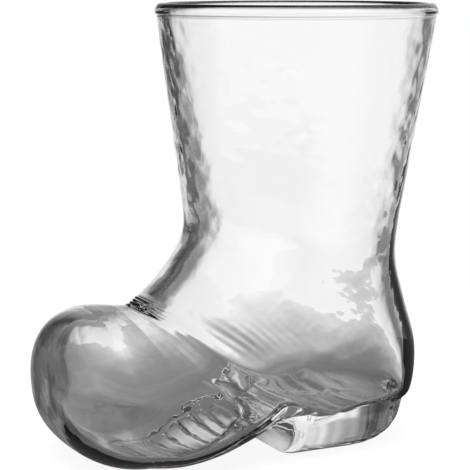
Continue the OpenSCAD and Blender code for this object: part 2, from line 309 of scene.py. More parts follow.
# Sizes that the blown skin takes
SKIN_SIZES = (
    "Dimple size", "Dimple depth", "Seed", "Tread middle", "Tread half length", "Tread half width",
    "Tread pitch", "Tread shift", "Groove radius", "Groove depth",
)
# Sums for each point of the skin before it is pressed: name, operation, and what it works on
TREAD_SUMS = (
    ("scale", "DIVIDE", 1.0, "Dimple size"),
    # The nearest groove, at even steps along the foot
    ("along", "SUBTRACT", "Tread middle", "x"),
    ("half pitch", "MULTIPLY", "Tread pitch", 0.5),
    ("start", "SUBTRACT", "along", "Tread shift"),
    ("ahead", "ADD", "start", "half pitch"),
    ("step", "SNAP", "ahead", "Tread pitch"),
    ("nearest", "ADD", "step", "Tread shift"),
    ("off", "SUBTRACT", "along", "nearest"),
    # Its half round
    ("radius squared", "MULTIPLY", "Groove radius", "Groove radius"),
    ("off squared", "MULTIPLY", "off", "off"),
    ("chord squared", "SUBTRACT", "radius squared", "off squared"),
    ("chord kept", "MAXIMUM", "chord squared", 0.0),
    ("chord", "SQRT", "chord kept"),
    ("rise", "SUBTRACT", "chord", "Groove radius"),
    ("deep", "ADD", "rise", "Groove depth"),
    ("groove", "MAXIMUM", "deep", 0.0),
    # How far the point lies inside its ends, which together fill an oval
    ("share", "DIVIDE", "nearest", "Tread half length"),
    ("share squared", "MULTIPLY", "share", "share"),
    ("oval squared", "SUBTRACT", 1.0, "share squared"),
    ("oval kept", "MAXIMUM", "oval squared", 0.0),
    ("oval", "SQRT", "oval kept"),
    ("width", "MULTIPLY", "oval", "Tread half width"),
    ("aside", "ABSOLUTE", "y"),
    ("reach", "SUBTRACT", "width", "aside"),
    # One shallow groove that runs round the oval
    ("down", "DIVIDE", "along", "Tread half length"),
    ("out", "DIVIDE", "y", "Tread half width"),
    ("down squared", "MULTIPLY", "down", "down"),
    ("out squared", "MULTIPLY", "out", "out"),
    ("round", "ADD", "down squared", "out squared"),
    ("from middle", "SUBTRACT", "round", RIM_MIDDLE),
    ("from rim", "DIVIDE", "from middle", RIM_HALF),
    ("from rim squared", "MULTIPLY", "from rim", "from rim"),
    ("bowl", "SUBTRACT", 1.0, "from rim squared"),
    ("bowl kept", "MAXIMUM", "bowl", 0.0),
    ("rim", "MULTIPLY", "bowl kept", "Groove depth"),
)
# How far the point is then pressed: by the dimples, and by the tread
PRESS_SUMS = (
    ("level", "SUBTRACT", 0.5, "noise"),
    ("dimple", "MULTIPLY", "level", "Dimple depth"),
    ("press", "MULTIPLY", "dimple", "hammer"),
    ("bar", "MULTIPLY", "groove", "ends"),
    ("bar or rim", "MAXIMUM", "bar", "rim"),
    ("lift", "MULTIPLY", "bar or rim", "tread"),
)
# Glass: how strongly it bends light, and the share of light that it lets by into its shadow
GLASS_IOR = 1.52
SHADOW_LIGHT = 0.86
# Scuffs: distance apart and the heights where the glass is fully worn and not at all, in metres, and
# their greatest roughness
SCUFF_SIZE = 0.0004
SCUFF_FULL = 0.00005
SCUFF_NONE = 0.0002
SCUFF_ROUGH = 0.5
# Chill waves in the skin, in metres: length and depth, and how strongly they show
WAVE_SIZE = 0.004
WAVE_DEPTH = 0.0002
WAVE_STRENGTH = 0.25


def landmarks(s):
    """Places on the glass that follow from its sizes."""
    m = SimpleNamespace()
    m.ankle_x = (s.toe_reach - s.mouth_shift - s.mouth_d / 2 - s.lip_bulge) / 2
    m.mouth_x = m.ankle_x + s.mouth_shift
    m.lip_z = s.height - s.lip_h
    m.tip_x = m.ankle_x - s.toe_reach
    front_x = m.ankle_x - s.ankle_d / 2
    back_x = m.ankle_x + s.ankle_d / 2
    m.ankle_front = np.array([front_x, s.ankle_z])
    m.ankle_back = np.array([back_x, s.ankle_z])
    m.instep = np.array([front_x, s.ankle_z - s.instep_drop])
    m.crease = np.array([front_x - s.instep_run, s.toe_h - s.crease_dip])
    m.instep_corner = mix(m.instep, m.crease, np.array(INSTEP_BEND))
    m.toe_top = np.array([m.tip_x + s.toe_round, s.toe_h])
    m.toe_base = np.array([m.tip_x + s.toe_spring, 0])
    m.hollow = np.array([back_x - s.hollow_in, s.ankle_z - s.hollow_drop])
    m.heel_back = np.array([back_x + s.heel_out, s.heel_z])
    m.cup_base = np.array([m.heel_back[0] - s.cup_round, s.arch_h + s.cup_rise])
    m.breast = np.array([m.ankle_x - s.breast_reach, s.arch_h])
    m.ball = np.array([m.ankle_x - s.ball_reach, -s.ground_off])
    return m


def front_point(m, i):
    """Front of key rib i: down the instep to the crease, then along the top of the toe."""
    if i == 0:
        return m.ankle_front
    if i <= BREAST_RIB:
        t = (i - 1) / (BREAST_RIB - 1)
        upper = mix(m.instep, m.instep_corner, t)
        return mix(upper, mix(m.instep_corner, m.crease, t), t)
    t = (i - BREAST_RIB) / (TOE_RIB - BREAST_RIB)
    return mix(m.crease, m.toe_top, np.array([t, ease(t)]))


def bottom_point(s, m, i):
    """Bottom of key rib i: hollow, heel cup, arch, ball and underside of the toe."""
    if i == 0:
        return m.ankle_back
    if i <= HEEL_RIB:
        t = (i - 1) / (HEEL_RIB - 1)
        return mix(m.hollow, m.heel_back, np.array([ease(t), t]))
    if i <= CUP_RIB:
        a = math.pi / 2 * (i - HEEL_RIB) / (CUP_RIB - HEEL_RIB)
        power = 2 / s.cup_square
        turn = np.array([1 - max(math.cos(a), 0) ** power, math.sin(a) ** power])
        return mix(m.heel_back, m.cup_base, turn)
    if i <= BREAST_RIB:
        t = (i - CUP_RIB) / (BREAST_RIB - CUP_RIB)
        return mix(m.cup_base, m.breast, t) + np.array([0, s.arch_lift * ease(2 * t - 1)])
    if i <= BALL_RIB:
        t = (i - BREAST_RIB) / (BALL_RIB - BREAST_RIB)
        lift = s.arch_lift * min(1, LIFT_FADE * (1 - t))
        return mix(m.breast, m.ball, np.array([t, math.sin(math.pi / 2 * t)])) + np.array([0, lift])
    return m.toe_base


def rib(front, bottom, half, share, square, glass):
    """A rib as one row: front, bottom, half width, widest share, squareness, share of the wall."""
    return np.array([*front, *bottom, half, share, square, glass])


def key_rib(s, m, i):
    """Rib i of the foot, counted from the ankle."""
    back = min(i / BREAST_RIB, 1)
    fore = ease(max(i - BREAST_RIB, 0) / (TOE_RIB - BREAST_RIB))
    width = mix(mix(s.arch_w, s.ankle_d, (1 - back) ** 2), s.toe_w, fore)
    share = mix(mix(ROUND_SHARE, ARCH_SHARE, ease(back)), TOE_SHARE, fore)
    square = mix(mix(2, s.arch_square, back**2), s.toe_square, fore)
    return rib(front_point(m, i), bottom_point(s, m, i), width / 2, share, square, 1)


def leg_rib(s, m, t):
    """Rib of the leg, which tapers straight from the lip, t = 0, to the ankle, t = 1."""
    half = mix(s.mouth_d, s.ankle_d, t) / 2
    x = mix(m.mouth_x, m.ankle_x, t)
    z = mix(m.lip_z, s.ankle_z, t)
    return rib((x - half, z), (x + half, z), half, ROUND_SHARE, 2, 1)


def toe_rib(s, m, degrees):
    """Rib of the rounded toe, 0 degrees at the ball and 90 at the tip."""
    a = math.radians(degrees)
    q = math.cos(a) ** TOE_BLUNT
    run = 1 - math.sin(a)
    front = (m.tip_x + s.toe_round * run, mix(s.tip_z, s.toe_h, q))
    bottom = (m.tip_x + s.toe_spring * run, mix(s.tip_z, 0, q))
    return rib(front, bottom, s.toe_w / 2 * q, TOE_SHARE, s.toe_square, q)


def rib_run(s, m):
    """Ribs from under the lip to the tip of the toe, and the place of each: below 0 in the leg,
    0 at the ankle, then the number of the key rib, and up to 13 at the tip."""
    ribs = [leg_rib(s, m, k / LEG_ROWS) for k in range(LEG_ROWS)]
    place = [k / LEG_ROWS - 1 for k in range(LEG_ROWS)]
    keys = [leg_rib(s, m, LEAD_IN)] + [key_rib(s, m, i) for i in range(TOE_RIB + 1)]
    keys.append(toe_rib(s, m, LEAD_OUT))
    for i, rows in enumerate(SPAN_ROWS):
        a, b, c, d = keys[i : i + 4]
        for k in range(rows):
            t = k / rows
            curve = (c - a) * t + (2 * a - 5 * b + 4 * c - d) * t**2 + (3 * b - a - 3 * c + d) * t**3
            ribs.append(b + curve / 2)
            place.append(i + t)
    for degrees in np.linspace(0, LAST_RIB, TOE_ROWS):
        ribs.append(toe_rib(s, m, degrees))
        place.append(TOE_RIB + degrees / 90)
    place = np.array(place)
    return softened(np.array(ribs), place), place


def softened(ribs, place):
    """The same ribs, with a soft bend in the front line at the ankle."""
    front = ribs[:, 0:2]
    way = np.concatenate([[0], np.cumsum(np.linalg.norm(np.diff(front, axis=0), axis=1))])
    fine = np.arange(0, way[-1], BEND_STEP)
    half = round(BEND_REACH / BEND_STEP)
    weights = np.hanning(2 * half + 3)[1:-1]
    share = ease((place - BEND_FROM) / BEND_IN) * ease((BEND_TO - place) / BEND_OUT)
    soft = ribs.copy()
    for k in (0, 1):
        padded = np.pad(np.interp(fine, way, front[:, k]), half, "edge")
        line = np.convolve(padded, weights / weights.sum(), "valid")
        soft[:, k] = mix(front[:, k], np.interp(way, fine, line), share)
    return soft


def evened(place, values):
    """Values along the ribs, each evened out with its neighbours within EVEN_REACH."""
    fine = np.linspace(place[0], place[-1], round((place[-1] - place[0]) / EVEN_REACH * EVEN_STEPS))
    weights = np.hanning(2 * EVEN_STEPS + 3)[1:-1]
    padded = np.pad(np.interp(fine, place, values), EVEN_STEPS, "edge")
    return np.interp(place, fine, np.convolve(padded, weights / weights.sum(), "valid"))


def drawn_in(s, ribs, place):
    """The same ribs, cut back at both ends and drawn in at the sides by the thickness of the glass."""
    inner = ribs.copy()
    floor = mix(s.wall, s.floor_t, ease(place / SEAM_RIB))
    floor = mix(floor, s.wall, ease(place - TOE_RIB))
    run = ribs[:, 2:4] - ribs[:, 0:2]
    run /= np.linalg.norm(run, axis=1)[:, None]
    rounded = ease((place - BREAST_RIB - 1) / (BALL_RIB - BREAST_RIB))
    for first, depth, extra, side in ((0, s.wall, FRONT_EXTRA, 1), (2, floor, REAR_EXTRA, -1)):
        way = np.gradient(ribs[:, first : first + 2], axis=0)
        way /= np.linalg.norm(way, axis=1)[:, None]
        square_on = np.stack([-way[:, 1], way[:, 0]], axis=1)
        slant = np.maximum(np.abs(np.sum(run * square_on, axis=1)), LEAST_SLANT)
        depth = depth + np.interp(place, *np.transpose(extra)) / 1000
        cut = depth if first == 0 else evened(place, depth / mix(1, slant, ease(place)))
        offset = mix(run * cut[:, None], square_on * depth[:, None], rounded[:, None])
        inner[:, first : first + 2] += side * offset
    inner[:, 4] -= s.wall * ribs[:, 7] + np.interp(place, *np.transpose(SIDE_EXTRA)) / 1000
    inner[:, 4] = np.maximum(inner[:, 4], 0)
    inner[:, 6] *= mix(1, FLOOR_SQUARE, ease((place - FLOOR_FROM) / (CUP_RIB - FLOOR_FROM)))
    return inner


def rings(ribs):
    """Points around each rib, evenly spaced along its outline, from its front by +Y to its bottom
    and back by -Y: a quarter ellipse down to the widest place, then a squarer quarter under it."""
    t = np.linspace(0, 1, OUTLINE_STEPS)
    a = np.pi / 2 * t**3 * (10 - 15 * t + 6 * t**2)
    steps = np.linspace(0, 1, QUARTER + 1)
    made = []
    for front_x, front_z, bottom_x, bottom_z, half, share, square, _ in ribs:
        run = np.array([bottom_x - front_x, bottom_z - front_z])
        length = np.linalg.norm(run)
        run /= length
        sine, cosine = np.clip(np.sin(a), 0, 1), np.clip(np.cos(a), 0, 1)
        parts = []
        for down, out in (
            (share * length * (1 - cosine), half * sine),
            (mix(share, 1, sine ** (2 / square)) * length, half * cosine ** (2 / square)),
        ):
            way = np.concatenate([[0], np.cumsum(np.hypot(np.diff(down), np.diff(out)))])
            way /= way[-1]
            parts.append(np.stack([np.interp(steps, way, down), np.interp(steps, way, out)], axis=1))
        near = np.concatenate([parts[0], parts[1][1:]])
        near[[0, -1], 1] = 0
        far = near[-2:0:-1] * (1, -1)
        loop = np.concatenate([near, far])
        x = front_x + run[0] * loop[:, 0]
        z = front_z + run[1] * loop[:, 0]
        made.append(np.stack([x, loop[:, 1], z], axis=1))
    return np.array(made)


def lip_rings(s, m):
    """Rings of the fire-polished lip, from the inside of the mouth over the bead to the leg."""
    radius = s.mouth_d / 2
    bead = (s.wall + s.lip_bulge) / 2
    middle = radius - s.wall + bead
    top = s.height - s.lip_round
    up, over, down, inwards = LIP_STEPS
    profile = [(radius - s.wall, mix(m.lip_z, top, k / up)) for k in range(up)]
    for k in range(over + 1):
        a = math.pi * k / over
        profile.append((middle - bead * math.cos(a), top + s.lip_round * math.sin(a)))
    foot = m.lip_z + s.lip_bulge
    profile += [(middle + bead, mix(top, foot, k / down)) for k in range(1, down + 1)]
    for k in range(1, inwards):
        a = math.pi / 2 * k / inwards
        bulge = s.lip_bulge * math.sin(a) ** 2
        profile.append((middle + bead - bulge, m.lip_z + s.lip_bulge * (1 - k / inwards)))
    turn = 2 * np.pi * np.arange(COLUMNS) / COLUMNS
    made = []
    for r, z in profile:
        x = m.mouth_x - r * np.cos(turn)
        made.append(np.stack([x, r * np.sin(turn), np.full(COLUMNS, z)], axis=1))
    return np.array(made)


def skin_normals(grid):
    """Outward direction at each point of a grid of rings."""
    along = np.gradient(grid, axis=0)
    around = np.roll(grid, -1, axis=1) - np.roll(grid, 1, axis=1)
    normals = np.cross(around, along)
    return normals / np.maximum(np.linalg.norm(normals, axis=2), 1e-12)[:, :, None]


def folded(grid, place, share):
    """Presses the crease over the toes and the short folds beside it into a skin."""
    column = np.arange(COLUMNS)
    turn = np.minimum(column, COLUMNS - column) / QUARTER
    press = np.zeros((len(place), COLUMNS))
    for at, half, reach, depth in FOLDS:
        line = np.exp(-(((place - at) / half) ** 2))
        press += depth / 1000 * line[:, None] * (1 - ease(turn / reach))[None, :]
    return grid - share * press[:, :, None] * skin_normals(grid)


def floored(s, inner, ribs, place):
    """Raises the inside of the foot to a flat floor, whose edge waves where the glass cooled
    unevenly."""
    rows = (place >= CUP_RIB) & (place <= TOE_RIB)
    rail = ribs[rows][::-1]
    x, y, z = inner[:, :, 0], inner[:, :, 1], inner[:, :, 2]
    waves = sum(
        share * np.sin(x / turn + np.where(y > 0, far, near)) for share, turn, far, near in FLOOR_WAVES
    )
    most = sum(row[0] for row in FLOOR_WAVES)
    waves = waves * s.floor_wave / most * ease((x - WAVES_FROM) / WAVES_GROW)
    floor = np.interp(x, rail[:, 2], rail[:, 3]) + s.floor_rise + waves
    over = z - floor
    raised = inner.copy()
    blended = floor + (over + np.sqrt(over**2 + FLOOR_BLEND**2)) / 2
    raised[:, :, 2] = np.where(place[:, None] > FLOOR_FROM, blended, z)
    return raised


def chilled(s, inner):
    """Slanting chill marks in the near and far side of the foot, between the arch and the instep."""
    x, y, z = inner[:, :, 0], inner[:, :, 1], inner[:, :, 2]
    off_x = (x - CHILL_AT[0]) / CHILL_HALF[0]
    off_z = (z - CHILL_AT[1]) / CHILL_HALF[1]
    window = np.exp(-(off_x**2) - off_z**2) * (np.abs(y) > CHILL_ASIDE)
    sway = CHILL_SWAY[0] * np.sin(x / CHILL_SWAY[1])
    wave = np.sin((CHILL_SLANT[0] * x + CHILL_SLANT[1] * z) * 2 * np.pi / CHILL_PITCH + sway)
    return inner + (s.chill * window * wave)[:, :, None] * skin_normals(inner)


def hammered(place):
    """How strongly a row is hammered: fully in the leg, faintly in the foot, hardly in the toe."""
    start = ease((place + 1) / HAMMER_START)
    foot = mix(1, HAMMER_FOOT, ease(place / HAMMER_FADE))
    toe = mix(foot, HAMMER_TOE, ease((place - CUP_RIB) / HAMMER_FADE))
    return start * toe


def skin_mesh(name, grid, pole, inside, regions, marks):
    """Mesh of a grid of rings that closes on a pole at the toe, with its marks kept as attributes."""
    rows = len(grid)
    index = np.arange(rows * COLUMNS).reshape(rows, COLUMNS)
    beside = np.roll(index, -1, axis=1)
    cells = np.stack([index[:-1], beside[:-1], beside[1:], index[1:]], axis=-1).reshape(-1, 4)
    fan = [[index[-1, j], beside[-1, j], rows * COLUMNS] for j in range(COLUMNS)]
    faces = cells.tolist() + fan
    kept = [*regions.ravel(), *[FOOT] * COLUMNS]
    if inside:
        faces = [face[::-1] for face in faces]
    else:
        faces.append(index[0, ::-1].tolist())
        kept.append(LID)
    mesh = bpy.data.meshes.new(name)
    mesh.from_pydata(np.concatenate([grid.reshape(-1, 3), [pole]]).tolist(), [], faces)
    normals = np.concatenate([skin_normals(grid).reshape(-1, 3), [(-1, 0, 0)]])
    outward = mesh.attributes.new("skin_normal", "FLOAT_VECTOR", "POINT")
    outward.data.foreach_set("vector", normals.ravel())
    for mark, values in marks.items():
        spread = np.append(np.broadcast_to(values, (rows, COLUMNS)).ravel(), 0.0)
        mesh.attributes.new(mark, "FLOAT", "POINT").data.foreach_set("value", spread)
    mesh.attributes.new("region", "INT", "FACE").data.foreach_set("value", kept)
    mesh.update()
    return mesh


def add(tree, kind, inputs=(), stops=(), **settings):
    """Adds a node with its settings and the grey stops of its ramp; an input that is given as another
    node's output is linked to it."""
    node = tree.nodes.new(kind)
    for key, value in settings.items():
        setattr(node, key, value)
    for k, (place, light) in enumerate(stops):
        marks = node.color_ramp.elements
        mark = marks[k] if k < len(marks) else marks.new(place)
        mark.position = place
        mark.color = (light, light, light, 1)
    for socket, value in dict(inputs).items():
        if isinstance(value, bpy.types.NodeSocket):
            tree.links.new(value, node.inputs[socket])
        else:
            node.inputs[socket].default_value = value
    return node


def blown_skin_tree():
    """Geometry Nodes that press hammered dimples into a skin and the tread into its sole."""
    tree = bpy.data.node_groups.new("Blown skin", "GeometryNodeTree")
    face = tree.interface
    face.new_socket("Geometry", in_out="INPUT", socket_type="NodeSocketGeometry")
    for name in SKIN_SIZES:
        face.new_socket(name, in_out="INPUT", socket_type="NodeSocketFloat")
    face.new_socket("Material", in_out="INPUT", socket_type="NodeSocketMaterial")
    face.new_socket("Geometry", in_out="OUTPUT", socket_type="NodeSocketGeometry")
    given = add(tree, "NodeGroupInput").outputs
    place = add(tree, "GeometryNodeInputPosition").outputs[0]
    spot = add(tree, "ShaderNodeSeparateXYZ", {0: place}).outputs
    made = {name: given[name] for name in SKIN_SIZES}
    made.update(x=spot["X"], y=spot["Y"])
    for name, kind in (("hammer", "FLOAT"), ("tread", "FLOAT"), ("skin_normal", "FLOAT_VECTOR")):
        mark = add(tree, "GeometryNodeInputNamedAttribute", {"Name": name}, data_type=kind)
        made[name] = mark.outputs["Attribute"]
    for name, operation, *parts in TREAD_SUMS:
        inputs = {k: made.get(part, part) for k, part in enumerate(parts)}
        made[name] = add(tree, "ShaderNodeMath", inputs, operation=operation).outputs[0]

    # Dimples: broad waves of the dimple size with finer ones on top
    noise = add(
        tree,
        "ShaderNodeTexNoise",
        {
            "Vector": place,
            "Scale": made["scale"],
            "W": given["Seed"],
            "Detail": 1.6,
            "Roughness": 0.45,
            "Distortion": 0.35,
        },
        noise_dimensions="4D",
    )
    made["noise"] = noise.outputs[0]
    # Ends of the grooves, which run out at the edge of the oval
    ends = add(
        tree,
        "ShaderNodeMapRange",
        {"Value": made["reach"], "From Min": 0.0, "From Max": GROOVE_END},
        interpolation_type="SMOOTHSTEP",
    )
    made["ends"] = ends.outputs[0]
    for name, operation, *parts in PRESS_SUMS:
        inputs = {k: made.get(part, part) for k, part in enumerate(parts)}
        made[name] = add(tree, "ShaderNodeMath", inputs, operation=operation).outputs[0]

    # Dimples press square to the glass, and the tread presses straight up
    pressed = {0: made["skin_normal"], "Scale": made["press"]}
    dimples = add(tree, "ShaderNodeVectorMath", pressed, operation="SCALE").outputs[0]
    grooves = add(tree, "ShaderNodeCombineXYZ", {"Z": made["lift"]}).outputs[0]
    moved = add(tree, "ShaderNodeVectorMath", {0: dimples, 1: grooves}, operation="ADD").outputs[0]
    shaped = add(tree, "GeometryNodeSetPosition", {"Geometry": given["Geometry"], "Offset": moved})
    real = add(tree, "GeometryNodeRealizeInstances", {0: shaped.outputs[0]}).outputs[0]
    dressed = add(tree, "GeometryNodeSetMaterial", {"Geometry": real, "Material": given["Material"]})
    add(tree, "NodeGroupOutput", {0: dressed.outputs[0]})
    return tree


def evaluated(blank):
    """The blank with its modifiers made real, as a plain mesh; the blank itself is removed."""
    graph = bpy.context.evaluated_depsgraph_get()
    mesh = bpy.data.meshes.new_from_object(blank.evaluated_get(graph), depsgraph=graph)
    old = blank.data
    bpy.data.objects.remove(blank)
    bpy.data.meshes.remove(old)
    return mesh


def blown(mesh, tree, values):
    """Runs the blown-skin nodes on a mesh."""
    blank = bpy.data.objects.new(mesh.name, mesh)
    bpy.context.collection.objects.link(blank)
    modifier = blank.modifiers.new("Blown skin", "NODES")
    modifier.node_group = tree
    for item in tree.interface.items_tree:
        if item.in_out == "INPUT" and item.name in values:
            modifier[item.identifier] = values[item.name]
    return evaluated(blank)


def melted(body, block, operation):
    """The solid that two meshes make together, by a boolean operation."""
    first, second = [bpy.data.objects.new(mesh.name, mesh.copy()) for mesh in (body, block)]
    bpy.context.collection.objects.link(first)
    bpy.context.collection.objects.link(second)
    melt = first.modifiers.new("Melt", "BOOLEAN")
    melt.operation = operation
    melt.solver = "MANIFOLD"
    melt.object = second
    mesh = evaluated(first)
    old = second.data
    bpy.data.objects.remove(second)
    bpy.data.meshes.remove(old)
    return mesh


def heel_block(s, m):
    """Closed blank of the heel: rounded corners in front, half an ellipse behind, drawn in to its
    foot."""
    front_steps = 12
    rear_steps = 36
    edge_steps = 14
    middle_x = m.heel_back[0] - s.block_rear - s.block_round
    taper_z = max(m.cup_base[1] + s.floor_t, s.block_edge)
    levels = [(0.0, m.heel_back[1]), (0.0, taper_z), (0.0, taper_z - RING_GAP)]
    for k in range(edge_steps + 1):
        a = math.pi / 2 * k / edge_steps
        z = s.block_edge * (1 - math.sin(a)) - s.ground_off
        levels.append((s.block_edge * (1 - math.cos(a)) + s.block_taper * (1 - z / taper_z), z))
    block = bmesh.new()
    region = block.faces.layers.int.new("region")
    loops = []
    for inset, z in levels:
        half = s.arch_w / 2 - s.block_side - inset
        r = min(s.breast_round, CORNER_MOST * half, middle_x - m.breast[0])
        near = []
        for k in range(front_steps + 1):
            a = math.pi / 2 * k / front_steps
            near.append((m.breast[0] + r * (1 - math.cos(a)), half - r * (1 - math.sin(a))))
        for k in range(rear_steps):
            a = math.pi / 2 * k / rear_steps
            near.append((middle_x + (s.block_round - inset) * math.sin(a), half * math.cos(a)))
        tip = (middle_x + s.block_round - inset, 0.0)
        outline = [(x, -y) for x, y in near] + [tip] + near[::-1]
        ring = []
        for x, y in outline:
            begin = HEEL_WAVE_START if y > 0 else 0.0
            wave = 1 + s.heel_wave / half * math.sin(x / HEEL_WAVE_TURN + begin)
            ring.append(block.verts.new((x, y * wave, max(z, 0))))
        loops.append(ring)
    for upper, lower in zip(loops, loops[1:]):
        for j in range(len(upper)):
            k = (j + 1) % len(upper)
            block.faces.new((upper[j], lower[j], lower[k], upper[k]))
    block.faces.new(loops[0])
    block.faces.new(loops[-1][::-1])
    bmesh.ops.recalc_face_normals(block, faces=block.faces)
    for face in block.faces:
        face[region] = HEEL
    mesh = bpy.data.meshes.new("heel blank")
    block.to_mesh(mesh)
    block.free()
    return mesh


def polygons(mesh):
    """Faces of a mesh as lists of corners, and the region of each."""
    starts = np.empty(len(mesh.polygons), int)
    mesh.polygons.foreach_get("loop_start", starts)
    corners = np.empty(len(mesh.loops), int)
    mesh.loops.foreach_get("vertex_index", corners)
    regions = np.empty(len(mesh.polygons), int)
    mesh.attributes["region"].data.foreach_get("value", regions)
    return np.split(corners, starts[1:]), regions


def points(mesh):
    """Points of a mesh."""
    flat = np.empty(3 * len(mesh.vertices))
    mesh.vertices.foreach_get("co", flat)
    return flat.reshape(-1, 3)


def cell_regions(lip_rows):
    """Region of each cell of a skin, row by row, with that many rows of the lip above the leg."""
    rows = LEG_ROWS + sum(SPAN_ROWS) + TOE_ROWS - 1
    regions = np.full((lip_rows + rows, COLUMNS), FOOT)
    regions[: lip_rows + LEG_ROWS] = LEG
    regions[:lip_rows] = LIP
    seam = lip_rows + LEG_ROWS + sum(SPAN_ROWS[:SEAM_RIB])
    end = lip_rows + LEG_ROWS + sum(SPAN_ROWS) + SOLE_TOE_ROWS
    regions[seam:end, 2 * QUARTER - QUARTER // 2 : 2 * QUARTER + QUARTER // 2] = SOLE
    return regions


def outer_skin(s, m, ribs, place, tree, values):
    """Outside of the glass with its lip, closed by a lid over the mouth."""
    grid = rings(ribs)
    grid[:, :, 2] = np.maximum(grid[:, :, 2], 0)
    grid = folded(grid, place, 1)
    lip = lip_rings(s, m)
    plain = np.zeros(len(lip))
    under = np.abs(np.arange(COLUMNS) - 2 * QUARTER) < TREAD_TURN * QUARTER
    marks = {
        "hammer": np.concatenate([plain, hammered(place)])[:, None],
        "tread": np.concatenate([plain, place > BREAST_RIB])[:, None] * under[None, :],
    }
    pole = (m.tip_x, 0, s.tip_z)
    grid = np.concatenate([lip, grid])
    mesh = skin_mesh("outside", grid, pole, False, cell_regions(len(lip)), marks)
    return blown(mesh, tree, {**values, "Dimple depth": s.dimple_out})


def inner_skin(s, m, ribs, place, tree, values):
    """Inside of the glass from the mouth to the toe."""
    inner_ribs = drawn_in(s, ribs, place)
    grid = floored(s, rings(inner_ribs), inner_ribs, place)
    grid = chilled(s, folded(grid, place, FOLD_INSIDE))
    marks = {"hammer": hammered(place)[:, None], "tread": 0.0}
    pole = (m.tip_x + s.wall + FRONT_EXTRA[-1][1] / 1000, 0, s.tip_z)
    mesh = skin_mesh("inside", grid, pole, True, cell_regions(0), marks)
    return blown(mesh, tree, {**values, "Dimple depth": -s.dimple_in, "Seed": s.seed + SEED_INSIDE})


def fused_skins(whole, inside):
    """Outside and inside as one mesh without the lid, smooth up to its edges."""
    work = bmesh.new()
    work.from_mesh(whole)
    region = work.faces.layers.int["region"]
    lids = [f for f in work.faces if f[region] == LID]
    bmesh.ops.delete(work, geom=lids, context="FACES")
    work.from_mesh(inside)
    bmesh.ops.remove_doubles(work, verts=work.verts, dist=MERGE)
    for face in work.faces:
        face.smooth = True
    fused = bpy.data.meshes.new("fused")
    work.to_mesh(fused)
    work.free()
    fused.set_sharp_from_angle(angle=math.radians(SHARP_DEGREES))
    return fused


def heel_patch(shared, all_points):
    """The patch where the heel is melted on, as faces, their regions and the points that it adds. It
    shares the points of its edge with the rest of the glass."""
    near = KDTree(len(all_points))
    for i, p in enumerate(all_points):
        near.insert(p, i)
    near.balance()
    renumbered = []
    extra = []
    for p in points(shared):
        _, i, gap = near.find(p)
        if gap > MERGE:
            i = len(all_points) + len(extra)
            extra.append(p)
        renumbered.append(i)
    patch, regions = polygons(shared)
    patch = [np.array(list(dict.fromkeys(renumbered[i] for i in f))) for f in patch]
    kept = [i for i, f in enumerate(patch) if regions[i] != HEEL and len(f) > 2]
    return [patch[i] for i in kept], regions[kept], np.reshape(extra, (-1, 3))


@lru_cache(maxsize=1)
def blown_glass(sizes):
    """The whole glass, fused, as points, faces, the region of each face and its corners' normals; and
    the patch where the heel is melted on, as faces and the regions that they lie under."""
    s = SimpleNamespace(**dict(sizes))
    m = landmarks(s)
    tree = blown_skin_tree()
    count = math.floor(s.tread_len / s.tread_pitch)
    values = {
        "Dimple size": s.dimple,
        "Seed": float(s.seed),
        "Tread middle": m.ankle_x - s.tread_reach,
        "Tread half length": (count + 1) / 2 * s.tread_pitch,
        "Tread half width": s.tread_w / 2,
        "Tread pitch": s.tread_pitch,
        "Tread shift": 0.0 if count % 2 else s.tread_pitch / 2,
        "Groove radius": s.groove_r,
        "Groove depth": s.groove_depth,
        "Material": glass_material(s),
    }
    ribs, place = rib_run(s, m)
    outside = outer_skin(s, m, ribs, place, tree, values)
    inside = inner_skin(s, m, ribs, place, tree, values)
    block = heel_block(s, m)
    whole = melted(outside, block, "UNION")
    shared = melted(outside, block, "INTERSECT")
    fused = fused_skins(whole, inside)
    faces, regions = polygons(fused)
    normals = np.empty(3 * len(fused.loops))
    fused.corner_normals.foreach_get("vector", normals)
    ends = np.cumsum([len(f) for f in faces])[:-1]
    all_points = points(fused)
    patch, patch_regions, extra = heel_patch(shared, all_points)
    for mesh in (outside, inside, block, whole, shared, fused):
        bpy.data.meshes.remove(mesh)
    bpy.data.node_groups.remove(tree)
    return SimpleNamespace(
        points=np.clip(np.concatenate([all_points, extra]), cad_low, cad_high),
        faces=faces,
        regions=regions,
        normals=np.split(normals.reshape(-1, 3), ends),
        patch=patch,
        patch_regions=patch_regions,
    )


def border_loops(faces):
    """Closed loops of the edges that only one of the faces has, each in the direction of its face."""
    after = {}
    edges = {(int(a), int(b)) for f in faces for a, b in zip(f, np.roll(f, -1))}
    for a, b in edges:
        if (b, a) not in edges:
            after[a] = b
    loops = []
    while after:
        start, at = after.popitem()
        loop = [start]
        while at != start:
            loop.append(at)
            at = after.pop(at)
        loops.append(loop)
    return loops


def bridge(places, first, second):
    """Triangles that join two border loops, walking round both by angle."""
    middle = places[first + second].mean(axis=0)
    runs = []
    for loop in (first, second):
        offset = places[loop] - middle
        angle = np.arctan2(offset[:, 1], offset[:, 0])
        rising = np.sum(np.sin(np.roll(angle, -1) - angle)) > 0
        start = int(np.argmin(angle))
        order = np.roll(loop, -start) if rising else np.roll(loop[::-1], start + 1 - len(loop))
        turned = np.roll(angle, -start) if rising else np.roll(angle[::-1], start + 1 - len(loop))
        runs.append((list(order) + [order[0]], list(turned) + [turned[0] + 2 * np.pi], rising))
    (a, a_turn, rising), (b, b_turn, _) = runs
    i = j = 0
    triangles = []
    while i < len(a) - 1 or j < len(b) - 1:
        if j == len(b) - 1 or (i < len(a) - 1 and a_turn[i + 1] <= b_turn[j + 1]):
            triangle = (a[i + 1], a[i], b[j])
            i += 1
        else:
            triangle = (b[j], b[j + 1], a[i])
            j += 1
        triangles.append(np.array(triangle if rising else triangle[::-1]))
    return triangles


